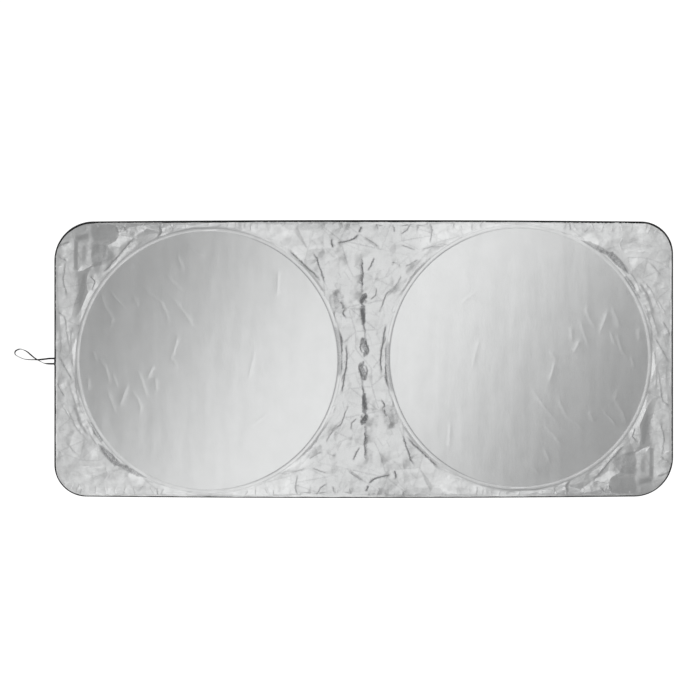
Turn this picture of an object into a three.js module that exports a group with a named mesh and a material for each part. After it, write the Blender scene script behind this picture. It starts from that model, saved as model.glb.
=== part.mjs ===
// A pop-up windscreen sunshade, laid open on a flat surface with its silver face up.
// One sheet of silver coated cloth is stretched by two round spring steel hoops. Each hoop runs in
// a tunnel between the sheet and a tape sewn behind it. A black tape binds the edge, and an elastic
// loop on the left edge holds the shade shut when it is coiled up.
// Millimetres, +X along the long side, +Y up the windscreen, +Z out of the silver face, with the
// origin in the middle of the shade on the surface that it lies on.
import * as THREE from "three";

// Hoops
const hoopRadius = 317.5; // to the middle of the wire
const wireDiameter = 1.6;
const wireSides = 6;
const wireSteps = 56;
const wireEndGap = 0.6; // between the two ends of a wire, inside its ferrule
const ferruleLength = 24;
const ferruleWall = 0.4;
const ferruleClearance = 0.2;
const ferruleSides = 8;
const ferruleAngle = 90; // degrees round the hoop, so that it sits next to the long edge

// Sheet
const sheetThickness = 0.3;
const sideGap = 52.5; // from a tunnel's outer row of stitches to the short edge
const middleGap = 109; // between the two tunnels' outer rows of stitches
const longEdgeGap = 12; // from a tunnel's outer row of stitches to the long edge next to it
const hoopStagger = 3.5; // the left hoop sits this much low, and the right hoop this much high
const edgeBow = 3.5; // how much the long edges stand out in the middle
const wideCorner = 95; // top left and bottom right
const tightCorner = 78; // bottom left and top right

// Tunnels
const tunnelWidth = 8; // between its two rows of stitches
const tunnelCrown = 3.2; // the flat width on top of the ridge
const tapeMargin = 3; // of the tape beyond each row of stitches
const tapeThickness = 0.3;

// Binding
const bindingWidth = 4.5;
const bindingThickness = 0.4;

// Elastic loop
const elasticWidth = 4;
const elasticSides = 8;
const elasticSteps = 46;

// The gap that lies between two pieces that touch.
const seat = 0.3;

// Creases of the loose cloth round the hoops
const creaseHeight = 4.2; // the tallest crease above the flat cloth
const creaseFullSpan = 60; // cloth narrower than this is creased in proportion
const creaseDrift = 0.28; // how far a crease strays sideways, as a share of the spacing
const foldSwing = 2.4; // how far the fold down the middle wanders from side to side
const foldHeight = 3.4; // the ridge of the fold above the bound edge
const longEdgeSteps = 17; // along half of a long edge
const cornerSteps = 7;
const shortEdgeSteps = 13;
const foldSteps = 18; // down the fold in the middle
const looseRows = 4; // rings of creased points between a tunnel and the binding

// Sizes that follow from those above
const halfTunnel = tunnelWidth / 2;
const hoopX = middleGap / 2 + halfTunnel + hoopRadius;
const halfLength = hoopX + hoopRadius + halfTunnel + sideGap;
const halfHeight = hoopRadius + halfTunnel + hoopStagger + longEdgeGap;
const ferruleRadius = wireDiameter / 2 + ferruleClearance + ferruleWall;
const wireHeight = tapeThickness + seat + ferruleRadius;
const flatUnderside = tapeThickness + seat; // of the sheet, where it lies on the tape
const ridgeUnderside = wireHeight + ferruleRadius + seat;
const edgeUnderside = bindingThickness + seat;
const edgeInset = bindingThickness + seat;
const bindingHeight = 2 * bindingThickness + 2 * seat + sheetThickness;
const hoopCentre = new THREE.Vector2(-hoopX, -hoopStagger);

function finish(name, color, roughness, metalness) {
  return new THREE.MeshStandardMaterial({ name, color, roughness, metalness });
}

const materials = {
  sheet: finish("silver_cloth", 0xc4c6c6, 0.42, 0.8),
  tape: finish("silver_tape", 0xb9bbbb, 0.5, 0.6),
  binding: finish("black_binding", 0x1b1b1c, 0.85, 0),
  elastic: finish("black_elastic", 0x0f0f10, 0.8, 0),
  wire: finish("spring_steel", 0x8c8e90, 0.35, 1),
  ferrule: finish("ferrule_steel", 0xa3a5a8, 0.4, 1),
};

const shade = new THREE.Group();

function addPiece(name, geometry, material, parent = shade) {
  const piece = new THREE.Mesh(geometry, material);
  piece.name = name;
  parent.add(piece);
}

// A repeatable number from 0 to 1 for each pair of whole numbers. Each use has a seed of its own,
// which is added to its second number.
const seeds = { height: 0, share: 40, drift: 90, foldSwing: 200, foldHeight: 300 };

function scatter(a, b) {
  const wave = Math.sin(a * 127.1 + b * 311.7 + 74.7) * 43758.5453;
  return wave - Math.floor(wave);
}

// The outline of the left half, inset from the outer edge, from the middle of the bottom edge
// round by the left to the middle of the top edge.
function halfOutline(inset) {
  const long = halfLength - inset;
  const high = halfHeight - inset;
  const low = high - edgeBow;
  const tight = tightCorner - inset;
  const wide = wideCorner - inset;
  const at = (x, y) => new THREE.Vector2(x, y);
  const longEdge = (...points) => [new THREE.QuadraticBezierCurve(...points), longEdgeSteps];
  const corner = (y, radius, start, end) => {
    return [new THREE.EllipseCurve(radius - long, y, radius, radius, start, end, true), cornerSteps];
  };
  const stretches = [
    longEdge(at(0, -high), at((tight - long) / 2, -high), at(tight - long, -low)),
    corner(tight - low, tight, 1.5 * Math.PI, Math.PI),
    [new THREE.LineCurve(at(-long, tight - low), at(-long, low - wide)), shortEdgeSteps],
    corner(low - wide, wide, Math.PI, 0.5 * Math.PI),
    longEdge(at(wide - long, low), at((wide - long) / 2, high), at(0, high)),
  ];
  const points = stretches.flatMap(([curve, steps]) => curve.getPoints(steps).slice(0, -1));
  return [...points, at(0, high)];
}

// Points down the fold in the middle, from the top edge to the bottom edge. They wander in such a
// way that half a turn of the shade puts the fold on itself.
function foldLine(inset) {
  const high = halfHeight - inset;
  return Array.from({ length: foldSteps + 1 }, (_, i) => {
    const below = 2 * i - foldSteps;
    const swing = Math.sign(below) * foldSwing * (2 * scatter(Math.abs(below), seeds.foldSwing) - 1);
    const isEnd = Math.abs(below) === foldSteps;
    return new THREE.Vector2(isEnd ? 0 : swing, (-high * below) / foldSteps);
  });
}

// The ring of spokes of the left half: each runs from the hoop's centre through the hoop to a point
// of the outline or of the fold.
const onOutline = halfOutline(edgeInset);
const onBindingLine = halfOutline(bindingWidth + seat);
const onFold = foldLine(edgeInset);
const outlineSteps = onOutline.length - 1;
const spokeCount = outlineSteps + foldSteps;

const spokes = Array.from({ length: spokeCount }, (_, index) => {
  const end = index <= outlineSteps ? onOutline[index] : onFold[index - outlineSteps];
  return { index, end, angle: Math.atan2(end.y - hoopCentre.y, end.x - hoopCentre.x) };
});

function onHoop(angle, radius) {
  return new THREE.Vector2(hoopCentre.x + radius * Math.cos(angle), hoopCentre.y + radius * Math.sin(angle));
}

// The underside of the fold at each of its points: a sharp ridge that comes and goes.
function foldUnderside(index) {
  const below = 2 * (index - outlineSteps) - foldSteps;
  return edgeUnderside + foldHeight * (0.35 + 0.65 * scatter(Math.abs(below), seeds.foldHeight));
}

// One spoke's points from the hoop's inner row of stitches out to the edge, each with the height of
// the sheet's underside.
function spokePoints(spoke) {
  const { index, end, angle } = spoke;
  const halfCrown = tunnelCrown / 2;
  const points = [
    [onHoop(angle, hoopRadius - halfTunnel), flatUnderside],
    [onHoop(angle, hoopRadius - halfCrown), ridgeUnderside],
    [onHoop(angle, hoopRadius + halfCrown), ridgeUnderside],
    [onHoop(angle, hoopRadius + halfTunnel), flatUnderside],
  ];
  const reachesFold = index > outlineSteps;
  const start = points.at(-1)[0];
  const finish = reachesFold ? end : onBindingLine[index];
  const span = start.distanceTo(finish);
  const rise = creaseHeight * Math.min(1, span / creaseFullSpan);
  const across = new THREE.Vector2(-Math.sin(angle), Math.cos(angle));
  const spacing = (2 * Math.PI * hoopRadius) / spokeCount;
  for (let row = 1; row <= looseRows; row += 1) {
    const stray = 0.4 * (scatter(index, row + seeds.share) - 0.5);
    const drift = creaseDrift * spacing * (2 * scatter(index, row + seeds.drift) - 1);
    const place = start.clone().lerp(finish, (row + stray) / (looseRows + 1));
    const gather = (index + row) % 2 ? 0.35 : 0.05;
    const height = gather + 0.55 * scatter(index, row + seeds.height);
    points.push([place.addScaledVector(across, drift), flatUnderside + rise * height]);
  }
  if (reachesFold) {
    points.push([end, foldUnderside(index)]);
  } else {
    points.push([finish, edgeUnderside]);
    points.push([end, edgeUnderside]);
  }
  return points;
}

// The sheet: both halves' spokes, as one closed skin with a top face, an underside and a rim.
function sheetGeometry() {
  const corners = [];
  const faces = [];
  const shared = new Map();

  function vertex(point, height, turned) {
    const x = turned ? -point.x : point.x;
    const y = turned ? -point.y : point.y;
    const key = [x, y].map((value) => Math.round(value * 100)).join();
    if (!shared.has(key)) {
      shared.set(key, corners.length);
      corners.push([x, y, height]);
    }
    return shared.get(key);
  }

  const rims = [];
  for (const turned of [false, true]) {
    const rows = spokes.map((spoke) => {
      return spokePoints(spoke).map(([point, height]) => vertex(point, height, turned));
    });
    const middle = vertex(hoopCentre, flatUnderside, turned);
    rows.forEach((row, index) => {
      const next = rows[(index + 1) % rows.length];
      faces.push([middle, next[0], row[0]]);
      const shorter = Math.min(row.length, next.length);
      for (let i = 0; i + 1 < shorter; i += 1) {
        if ((index + i) % 2) {
          faces.push([row[i], next[i], next[i + 1]], [row[i], next[i + 1], row[i + 1]]);
        } else {
          faces.push([row[i], next[i], row[i + 1]], [next[i], next[i + 1], row[i + 1]]);
        }
      }
      if (index < outlineSteps) rims.push([row.at(-1), next.at(-1)]);
    });
  }

  const count = corners.length;
  const positions = [
    ...corners,
    ...corners.map(([x, y, z]) => [x, y, z + sheetThickness]),
  ].flat();
  const triangles = [];
  for (const [a, b, c] of faces) {
    triangles.push(a, c, b);
    triangles.push(a + count, b + count, c + count);
  }
  for (const [a, b] of rims) {
    triangles.push(a, a + count, b + count);
    triangles.push(a, b + count, b);
  }
  return bufferGeometry(positions, triangles);
}

function bufferGeometry(positions, triangles) {
  const geometry = new THREE.BufferGeometry();
  geometry.setAttribute("position", new THREE.Float32BufferAttribute(positions, 3));
  geometry.setIndex(triangles);
  geometry.computeVertexNormals();
  return geometry;
}

// A closed band: the section's points, each as [stations, height], joined from station to station
// all the way round.
function closedBand(section) {
  const steps = section[0][0].length;
  const positions = [];
  for (let i = 0; i < steps; i += 1) {
    for (const [stations, height] of section) positions.push(stations[i].x, stations[i].y, height);
  }
  const triangles = [];
  for (let i = 0; i < steps; i += 1) {
    for (let k = 0; k < section.length; k += 1) {
      const here = i * section.length;
      const there = ((i + 1) % steps) * section.length;
      const after = (k + 1) % section.length;
      triangles.push(here + k, there + after, there + k);
      triangles.push(here + k, here + after, there + after);
    }
  }
  return bufferGeometry(positions, triangles);
}

// The whole outline, both halves, inset from the outer edge.
function wholeOutline(inset) {
  const half = halfOutline(inset).slice(0, -1);
  return [...half, ...half.map((point) => new THREE.Vector2(-point.x, -point.y))];
}

// The binding is a tape folded in three sides round the edge of the sheet.
function bindingGeometry() {
  const outer = wholeOutline(0);
  const slotEnd = wholeOutline(bindingThickness);
  const inner = wholeOutline(bindingWidth);
  return closedBand([
    [outer, 0],
    [outer, bindingHeight],
    [inner, bindingHeight],
    [inner, bindingHeight - bindingThickness],
    [slotEnd, bindingHeight - bindingThickness],
    [slotEnd, bindingThickness],
    [inner, bindingThickness],
    [inner, 0],
  ]);
}

// The tape behind a hoop is a flat ring.
function tapeGeometry() {
  const ring = (radius) => spokes.map(({ angle }) => onHoop(angle, radius));
  const outer = ring(hoopRadius + halfTunnel + tapeMargin);
  const inner = ring(hoopRadius - halfTunnel - tapeMargin);
  return closedBand([
    [outer, 0],
    [outer, tapeThickness],
    [inner, tapeThickness],
    [inner, 0],
  ]);
}

// A stretch of the hoop's circle through the middle of the wire, with a step at each listed angle.
class HoopArc extends THREE.Curve {
  constructor(angles) {
    super();
    this.angles = angles;
  }

  angleAt(share) {
    const place = share * (this.angles.length - 1);
    const before = Math.min(Math.floor(place), this.angles.length - 2);
    return THREE.MathUtils.lerp(this.angles[before], this.angles[before + 1], place - before);
  }

  getPointAt(share, target = new THREE.Vector3()) {
    const flat = onHoop(this.angleAt(share), hoopRadius);
    return target.set(flat.x, flat.y, wireHeight);
  }

  getTangentAt(share, target = new THREE.Vector3()) {
    const angle = this.angleAt(share);
    return target.set(-Math.sin(angle), Math.cos(angle), 0);
  }
}

function polygon(radius, sides) {
  return Array.from({ length: sides }, (_, i) => {
    const angle = (2 * Math.PI * (i + 0.5)) / sides;
    return new THREE.Vector2(radius * Math.cos(angle), radius * Math.sin(angle));
  });
}

function swept(shape, path, steps) {
  return new THREE.ExtrudeGeometry(shape, { steps, extrudePath: path, bevelEnabled: false });
}

const ferruleMiddle = THREE.MathUtils.degToRad(ferruleAngle);
const halfFerruleSweep = ferruleLength / 2 / hoopRadius;
const halfGapSweep = wireEndGap / 2 / hoopRadius;

// The wire steps at both ends of its ferrule, so that it runs down the middle of the bore.
function wireGeometry() {
  const first = ferruleMiddle + halfFerruleSweep;
  const openSweep = 2 * Math.PI - 2 * halfFerruleSweep;
  const steps = wireSteps - 2;
  const open = Array.from({ length: steps + 1 }, (_, i) => first + (openSweep * i) / steps);
  const start = ferruleMiddle + halfGapSweep;
  const end = ferruleMiddle + 2 * Math.PI - halfGapSweep;
  const section = new THREE.Shape(polygon(wireDiameter / 2, wireSides));
  return swept(section, new HoopArc([start, ...open, end]), wireSteps);
}

function ferruleGeometry() {
  const angles = [ferruleMiddle - halfFerruleSweep, ferruleMiddle, ferruleMiddle + halfFerruleSweep];
  const bore = (wireDiameter / 2 + ferruleClearance) / Math.cos(Math.PI / ferruleSides);
  const section = new THREE.Shape(polygon(ferruleRadius, ferruleSides));
  section.holes.push(new THREE.Path(polygon(bore, ferruleSides)));
  return swept(section, new HoopArc(angles), angles.length - 1);
}

// The elastic's route: how far each point is out from the left edge, how far up, and how high. It
// leaves the edge at its lower end, humps over itself, loops round and comes straight back.
const elasticRoute = [
  [seat, -11.6, 2],
  [10.7, -11.6, 2],
  [23.8, -10.4, 3],
  [31.3, -6.8, 5.2],
  [37.9, -2.9, 6.6],
  [46.4, 2.2, 6.6],
  [56.2, 9.9, 4.4],
  [64.8, 17, 2.4],
  [75.7, 22.6, 2],
  [84.9, 23.8, 2],
  [92.9, 20.2, 2],
  [95.5, 14.6, 2],
  [91.6, 8.4, 2],
  [81.1, 2.9, 2],
  [72.3, -0.2, 2],
  [61.7, -1.5, 2],
  [46.4, -1.7, 2],
  [36.7, -1.5, 2],
  [23.8, -0.2, 2],
  [10.7, 1.2, 2],
  [seat, 1.4, 2],
];

function elasticGeometry() {
  const points = elasticRoute.map(([out, up, high]) => new THREE.Vector3(-halfLength - out, up, high));
  const path = new THREE.CatmullRomCurve3(points, false, "centripetal");
  const section = new THREE.Shape(polygon(elasticWidth / 2, elasticSides));
  return swept(section, path, elasticSteps);
}

// The shade, put together. The right half is the left half turned by half a turn.
addPiece("silver_sheet", sheetGeometry(), materials.sheet);
addPiece("edge_binding", bindingGeometry(), materials.binding);
for (const side of ["left", "right"]) {
  const half = new THREE.Group();
  half.rotation.z = side === "left" ? 0 : Math.PI;
  shade.add(half);
  addPiece(`${side}_hoop_tape`, tapeGeometry(), materials.tape, half);
  addPiece(`${side}_hoop_wire`, wireGeometry(), materials.wire, half);
  addPiece(`${side}_hoop_ferrule`, ferruleGeometry(), materials.ferrule, half);
}
addPiece("elastic_loop", elasticGeometry(), materials.elastic);

export default shade;
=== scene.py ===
# %% [markdown]
# A pop-up windscreen sunshade is one sheet of silver coated cloth. Two round hoops of spring steel
# run in tunnels behind it and pull it flat, a black tape binds its edge, and a loop of black elastic
# holds it shut when it is coiled up. This lesson dresses the measured solids of such a shade, laid
# open with its silver face up. The solids come from model.glb, and everything here is in metres.

# %% Load the measured shade
import math

import bpy
import numpy as np
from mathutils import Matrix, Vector
from mathutils.bvhtree import BVHTree
from mathutils.geometry import delaunay_2d_cdt


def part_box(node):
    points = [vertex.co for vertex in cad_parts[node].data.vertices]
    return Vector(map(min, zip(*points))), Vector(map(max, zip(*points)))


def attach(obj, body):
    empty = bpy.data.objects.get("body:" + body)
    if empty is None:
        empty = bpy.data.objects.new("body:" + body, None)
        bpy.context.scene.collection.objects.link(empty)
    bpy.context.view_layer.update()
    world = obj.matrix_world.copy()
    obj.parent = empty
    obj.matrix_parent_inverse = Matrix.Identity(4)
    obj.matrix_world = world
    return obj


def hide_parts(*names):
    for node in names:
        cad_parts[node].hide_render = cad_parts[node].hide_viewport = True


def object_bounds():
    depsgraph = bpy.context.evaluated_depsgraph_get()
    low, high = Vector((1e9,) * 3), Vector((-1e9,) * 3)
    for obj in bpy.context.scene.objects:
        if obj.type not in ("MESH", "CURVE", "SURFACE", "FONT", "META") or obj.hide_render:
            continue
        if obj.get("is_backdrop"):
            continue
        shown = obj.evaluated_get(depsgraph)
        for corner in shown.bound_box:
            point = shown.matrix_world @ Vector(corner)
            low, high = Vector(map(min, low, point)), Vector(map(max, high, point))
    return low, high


mm = 0.001
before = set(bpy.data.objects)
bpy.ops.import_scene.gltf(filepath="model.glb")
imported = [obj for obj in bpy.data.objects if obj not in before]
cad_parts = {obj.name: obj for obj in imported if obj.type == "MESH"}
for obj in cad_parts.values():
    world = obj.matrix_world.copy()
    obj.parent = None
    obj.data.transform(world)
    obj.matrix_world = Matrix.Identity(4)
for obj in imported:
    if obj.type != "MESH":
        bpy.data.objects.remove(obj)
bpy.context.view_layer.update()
shade_low, shade_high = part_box("edge_binding")
half_length = shade_high.x
half_height = shade_high.y
print("The shade measures", [round(v / mm, 1) for v in shade_high - shade_low], "mm")

# %% [markdown]
# The camera comes first, because the elastic has to lie inside its view. The photograph looks
# straight down on the shade, so a long lens high above it does the same. The height follows from
# the lens and from how much of the floor the picture shows.

# %% Camera straight above the shade
photo_side = 700
pixel = 2.425 * mm
photo_middle = Vector((363.7, 359.0))  # the pixel that shows the shade's middle
lens = 85.0
sensor = 36.0


def on_shade(pixels):
    """Pixels of the photograph as places on the shade."""
    return (np.asarray(pixels, float) - np.array(photo_middle)) * (pixel, -pixel)


def add_object(name, data):
    """An object with that mesh, lamp or camera, in the scene."""
    thing = bpy.data.objects.new(name, data)
    bpy.context.scene.collection.objects.link(thing)
    return thing


camera_data = bpy.data.cameras.new("camera_above")
camera_data.lens = lens
camera_data.sensor_width = sensor
camera = add_object("camera_above", camera_data)
picture_middle = photo_side / 2
camera.location = (
    (picture_middle - photo_middle.x) * pixel,
    (photo_middle.y - picture_middle) * pixel,
    photo_side * pixel * lens / sensor,
)
bpy.context.scene.camera = camera
print("The camera hangs", round(camera.location.z, 3), "m above the floor")

# %% [markdown]
# Most finishes here are short chains of nodes on one shader. A few small helpers keep each chain
# easy to read: they start a material, add a node, join two sockets, mix two colours, or raise a
# relief. The two last ones make a mesh and store a number or a vector for each of its points.

# %% Helpers for finishes and meshes
darkest, lightest = 0.75, 1.15  # how far the tone of a woven finish drifts
thread_relief = 0.6


def new_finish(name, colour, roughness, metallic=0.0):
    """A material with one Principled shader, and that shader."""
    finish = bpy.data.materials.new(name)
    finish.use_nodes = True
    shader = finish.node_tree.nodes["Principled BSDF"]
    shader.inputs["Base Color"].default_value = (*colour, 1)
    shader.inputs["Roughness"].default_value = roughness
    shader.inputs["Metallic"].default_value = metallic
    return finish, shader


def add_node(finish, kind, **settings):
    """A node of that kind. A setting is a property of the node or, if it has none, a socket."""
    node = finish.node_tree.nodes.new(kind)
    for name, value in settings.items():
        if hasattr(node, name):
            setattr(node, name, value)
        else:
            node.inputs[name.replace("_", " ").title()].default_value = value
    return node


def join(finish, source, target):
    finish.node_tree.links.new(source, target)


def texture(finish, kind, where, **settings):
    """The pattern of a texture, read at those places."""
    node = add_node(finish, kind, **settings)
    join(finish, where, node.inputs["Vector"])
    return node.outputs["Fac"]


def mix(finish, share, first, second):
    """The mixture of two colours. Each is a plain colour or a socket."""
    node = add_node(finish, "ShaderNodeMixRGB")
    join(finish, share, node.inputs["Fac"])
    for name, colour in (("Color1", first), ("Color2", second)):
        if isinstance(colour, tuple):
            node.inputs[name].default_value = (*colour, 1)
        else:
            join(finish, colour, node.inputs[name])
    return node.outputs["Color"]


def bump(finish, height, distance, strength=1.0, under=None):
    """The normal of a relief of that height, which may lie on top of another relief."""
    node = add_node(finish, "ShaderNodeBump", strength=strength, distance=distance)
    join(finish, height, node.inputs["Height"])
    if under:
        join(finish, under, node.inputs["Normal"])
    return node.outputs["Normal"]


def tone(colour, share):
    """The same hue, darker or lighter."""
    return tuple(share * part for part in colour)


def woven_finish(name, colour, roughness, metallic, shine, kind, depth, place_name=None, **settings):
    """A finish whose fine relief and small changes of tone both come from one texture."""
    finish, shader = new_finish(name, colour, roughness, metallic)
    shader.inputs["Specular IOR Level"].default_value = shine
    if place_name:
        where = add_node(finish, "ShaderNodeAttribute", attribute_name=place_name).outputs["Vector"]
    else:
        where = add_node(finish, "ShaderNodeTexCoord").outputs["Object"]
    pattern = texture(finish, kind, where, **settings)
    colours = mix(finish, pattern, tone(colour, darkest), tone(colour, lightest))
    join(finish, colours, shader.inputs["Base Color"])
    join(finish, bump(finish, pattern, depth, thread_relief), shader.inputs["Normal"])
    return finish


def add_mesh(name, points, faces, finish):
    """A smooth mesh object with that finish, riding on the shade."""
    mesh = bpy.data.meshes.new(name)
    mesh.from_pydata(np.asarray(points).tolist(), [], faces)
    mesh.polygons.foreach_set("use_smooth", [True] * len(mesh.polygons))
    mesh.materials.append(finish)
    piece = add_object(name, mesh)
    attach(piece, "root")
    return piece


def write_layer(piece, name, values):
    """Stores a number or a vector for each point, where a finish can read it."""
    kind, field = ("FLOAT_VECTOR", "vector") if values.ndim == 2 else ("FLOAT", "value")
    layer = piece.data.attributes.new(name, kind, "POINT")
    layer.data.foreach_set(field, values.ravel())


print("A woven finish drifts from", darkest, "to", lightest, "times its colour")

# %% [markdown]
# The elastic is a flat braid about 4 mm wide, sewn in at both ends. It can't bend sideways while it
# lies flat, so wherever it turns a corner it stands up on its edge, and from above it looks thick
# where it lies flat and thin where it stands. A swept round tube would miss that. So the band is
# built ring by ring along its route, and each point of the route also says how far the band leans.

# %% Route of the elastic
elastic_width = 4 * mm
elastic_thickness = 1.0 * mm
seat = 0.3  # the gap to the bound edge, in millimetres as in the route
lying_flat = 2  # the height in the route of a stretch that lies flat on the floor
elastic_steps = 150
places_between = 24  # on the smooth line, from one point of the route to the next
# How far out from the left edge, how far up, how high, and how far the band leans, in degrees.
elastic_route = [
    (seat, -11.6, 2, 8),
    (10.7, -11.6, 2, 20),
    (23.8, -10.4, 3, 70),
    (31.3, -6.8, 5.2, 92),
    (37.9, -2.9, 6.6, 110),
    (46.4, 2.2, 6.6, 128),
    (56.2, 9.9, 4.4, 132),
    (64.8, 17, 2.4, 122),
    (75.7, 22.6, 2, 92),
    (84.9, 23.8, 2, 62),
    (92.9, 20.2, 2, 48),
    (95.5, 14.6, 2, 66),
    (91.6, 8.4, 2, 88),
    (81.1, 2.9, 2, 90),
    (72.3, -0.2, 2, 84),
    (61.7, -1.5, 2, 74),
    (46.4, -1.7, 2, 62),
    (36.7, -1.5, 2, 38),
    (23.8, -0.2, 2, 10),
    (10.7, 1.2, 2, 0),
    (seat, 1.4, 2, 0),
]


def walked_along(line):
    """How far along a line each of its points is."""
    return np.concatenate([[0], np.cumsum(np.linalg.norm(np.diff(line, axis=0), axis=1))])


def at_steps(line, along, steps):
    """The line again, as steps + 1 places that lie evenly along it."""
    even = np.linspace(0, along[-1], steps + 1)
    return np.column_stack([np.interp(even, along, line[:, k]) for k in range(line.shape[1])])


def through_points(points, steps):
    """A smooth line through the points, as steps + 1 places that lie evenly along it."""
    points = np.asarray(points, float)
    padded = np.vstack([2 * points[0] - points[1], points, 2 * points[-1] - points[-2]])
    gaps = np.linalg.norm(np.diff(padded, axis=0), axis=1) ** 0.5
    knots = np.concatenate([[0], np.cumsum(gaps)])
    line = []
    for i in range(1, len(padded) - 2):
        t = np.linspace(knots[i], knots[i + 1], places_between, endpoint=False)[:, None]
        p, k = padded[i - 1 : i + 3], knots[i - 1 : i + 3]

        def between(a, b, start, end):
            return (a * (end - t) + b * (t - start)) / (end - start)

        first = [between(p[j], p[j + 1], k[j], k[j + 1]) for j in range(3)]
        second = [between(first[j], first[j + 1], k[j], k[j + 2]) for j in range(2)]
        line.append(between(*second, k[1], k[2]))
    line = np.vstack([*line, points[-1:]])
    return at_steps(line, walked_along(line[:, :3]), steps)


route = through_points(elastic_route, elastic_steps)
elastic_lean = np.radians(route[:, 3])
standing_share = elastic_width / 2 * abs(np.sin(elastic_lean))
lying_share = elastic_thickness / 2 * abs(np.cos(elastic_lean))
elastic_line = np.column_stack(
    [
        -half_length - route[:, 0] * mm,
        route[:, 1] * mm,
        (route[:, 2] - lying_flat) * mm + (standing_share + lying_share),
    ]
)
elastic_length = float(np.linalg.norm(np.diff(elastic_line, axis=0), axis=1).sum())
print("The elastic is", round(elastic_length / mm, 1), "mm long")

# %% [markdown]
# The elastic is braided from black threads over thin rubber, and its ribs run across the band,
# about two to a millimetre. A wave texture bumps them. It reads the way along the band instead of
# the place in the room, so the ribs follow every bend of the loop.

# %% Finish of the elastic
rib_scale = 500.0
bands = 20 / (2 * math.pi)  # of a wave texture of scale 1, to each unit of length
black_elastic = woven_finish(
    "black_elastic",
    (0.003, 0.003, 0.0033),
    0.9,
    0.0,
    0.12,
    "ShaderNodeTexWave",
    0.0003,
    place_name="along_and_across",
    bands_direction="X",
    scale=rib_scale,
    distortion=1.5,
)
print("The elastic's ribs repeat every", round(1 / bands / rib_scale / mm, 2), "mm")

# %% [markdown]
# To make the band, its cross section is carried along the route and leaned over at each step.

# %% Make the elastic
def band_section(width, thickness, corner_points=3):
    """Half a turn of round edge at each side of a flat band, as offsets across and through it."""
    bend = thickness / 2
    turns = np.linspace(-math.pi / 2, math.pi / 2, corner_points + 1)
    right = np.column_stack([width / 2 - bend + bend * np.cos(turns), bend * np.sin(turns)])
    return np.vstack([right, -right])


def unit(rows):
    """Each row as a direction of length 1."""
    return rows / np.linalg.norm(rows, axis=1)[:, None]


def sweep_band(line, lean, section):
    """Points and faces of a band that follows the line and leans round it, closed at both ends."""
    ahead = unit(np.gradient(line, axis=0))
    level = unit(np.cross(ahead, (0, 0, 1)))
    upward = np.cross(level, ahead)
    across = level * np.cos(lean)[:, None] + upward * np.sin(lean)[:, None]
    through = upward * np.cos(lean)[:, None] - level * np.sin(lean)[:, None]
    points = line[:, None] + section[:, 0, None] * across[:, None]
    points += section[:, 1, None] * through[:, None]
    sides, rings = len(section), len(line)
    faces = []
    for i in range(rings - 1):
        for k in range(sides):
            a, b = i * sides + k, i * sides + (k + 1) % sides
            faces.append((a, b, b + sides, a + sides))
    ends = [tuple(range(sides))[::-1], tuple(range((rings - 1) * sides, rings * sides))]
    return points.reshape(-1, 3), faces, ends


elastic_section = band_section(elastic_width, elastic_thickness)
points, sides, ends = sweep_band(elastic_line, elastic_lean, elastic_section)
elastic = add_mesh("elastic_loop_braid", points, [*sides, *ends], black_elastic)
elastic.data.polygons.foreach_set("use_smooth", [True] * len(sides) + [False] * len(ends))
walked = np.linspace(0, elastic_length, len(elastic_line))
braid_place = np.zeros((len(points), 3))
braid_place[:, 0] = np.repeat(walked, len(elastic_section))
braid_place[:, 1] = np.tile(elastic_section[:, 0], len(elastic_line))
write_layer(elastic, "along_and_across", braid_place)
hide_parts("elastic_loop")
print("The elastic has", len(sides), "faces round", len(elastic_line), "rings")

# %% [markdown]
# The sheet is where the looks are. Its two discs are pulled flat by the hoops, and the cloth
# between the discs and the edge hangs loose in sharp folds. A square grid would leave the round
# tunnels ragged and blur every fold. So the sheet starts as a cloud of points that lie close
# together wherever the shape changes quickly, and a triangulation joins them. Only the left half is
# made, because the photograph shows the right half as the same half turned round.

# %% Sizes of the sheet
hoop_radius = 317.5 * mm
hoop_centre = np.array([-376.0, -3.5]) * mm
half_tunnel = 4 * mm
edge_inset = 1.2 * mm
edge_bow = 3.5 * mm
wide_corner = 95 * mm
tight_corner = 78 * mm


def half_outline(inset, spacing):
    """The left half's outline from the bottom middle round by the left to the top middle."""
    long = half_length - inset
    high = half_height - inset
    low = high - edge_bow
    tight, wide = tight_corner - inset, wide_corner - inset

    def arc(y, radius, start, end):
        turn = np.radians(np.linspace(start, end, round(1.6 * radius / spacing)))
        return np.column_stack([radius - long + radius * np.cos(turn), y + radius * np.sin(turn)])

    def long_edge(sign, corner):
        x = np.linspace(0, long - corner, round((long - corner) / spacing))
        return np.column_stack([-x, sign * (high - edge_bow * (x / (long - corner)) ** 2)])

    pieces = [
        long_edge(-1, tight),
        arc(tight - low, tight, 270, 180)[1:],
        arc(low - wide, wide, 180, 90),
        long_edge(1, wide)[::-1][1:],
    ]
    return np.vstack(pieces)


def evenly(line, spacing):
    """The line again, with its points at even steps of about that spacing."""
    along = walked_along(line)
    return at_steps(line, along, max(1, round(along[-1] / spacing)))


def ease(value, low, high):
    """0 up to low, 1 from high on, and a smooth step in between."""
    share = np.clip((value - low) / (high - low), 0, 1)
    return share * share * (3 - 2 * share)


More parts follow.
